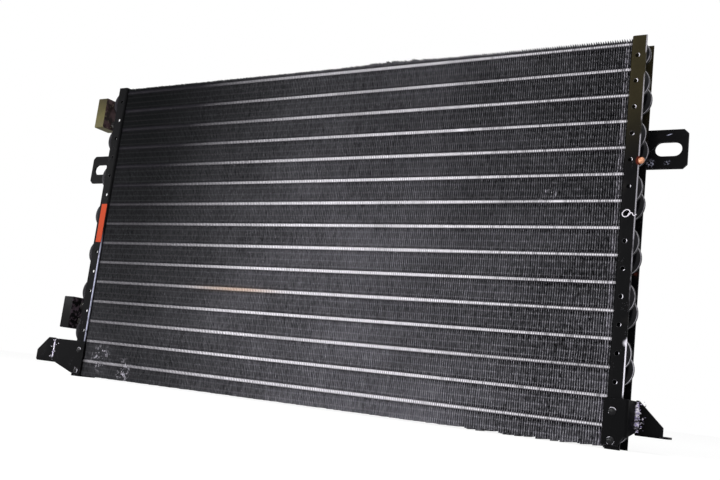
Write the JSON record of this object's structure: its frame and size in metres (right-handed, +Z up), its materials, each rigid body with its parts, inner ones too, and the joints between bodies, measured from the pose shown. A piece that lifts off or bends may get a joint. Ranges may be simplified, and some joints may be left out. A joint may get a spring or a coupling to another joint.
{
  "type": "air conditioning condenser",
  "caption": "Flat finned-tube heat exchanger with end plates, side lugs, feet and connection blocks, for cooling refrigerant in a vehicle.",
  "frame": {"origin": "middle of the part's bounding box in X and Y, at the level its end plates stand on", "axes": "+X along the tubes, towards the return bends and away from the connection blocks; +Y from the front face to the back face with the lugs; +Z up, across the tubes"},
  "size_m": [0.799, 0.0518, 0.3826],
  "materials": {
    "fins": "dull black-grey",
    "tubes": "worn black",
    "bends": "gloss black",
    "plates": "satin black",
    "brackets": "satin black",
    "weld": "rough",
    "rivets": "dull",
    "inlet": "passivated yellow",
    "outlet": "gloss black",
    "label": "worn orange",
    "wire": "dull"
  },
  "bodies": {
    "root": {"fin_pack": "fins", "front_hairpin_1": "tubes", "front_hairpin_2": "tubes", "front_hairpin_3": "tubes", "front_hairpin_4": "tubes", "front_hairpin_5": "tubes", "front_hairpin_6": "tubes", "front_hairpin_7": "tubes", "rear_hairpin_1": "tubes", "rear_hairpin_2": "tubes", "rear_hairpin_3": "tubes", "rear_hairpin_4": "tubes", "rear_hairpin_5": "tubes", "crossing_hairpin": "tubes", "inlet_tube_upper": "tubes", "inlet_tube_lower": "tubes", "outlet_tube_upper": "tubes", "outlet_tube_lower": "tubes", "front_return_bends": "bends", "rear_return_bends": "bends", "crossover_bend": "bends", "left_end_plate": "plates", "left_lug": "brackets", "left_lug_welds": "weld", "left_foot": "brackets", "left_foot_angle": "brackets", "left_foot_weld": "weld", "left_rivets": "rivets", "right_end_plate": "plates", "right_lug": "brackets", "right_lug_welds": "weld", "right_foot": "brackets", "right_foot_angle": "brackets", "right_foot_weld": "weld", "right_rivets": "rivets", "inlet_block": "inlet", "outlet_block": "outlet", "flange_label": "label", "wire_tie": "wire"}
  },
  "joints": []
}
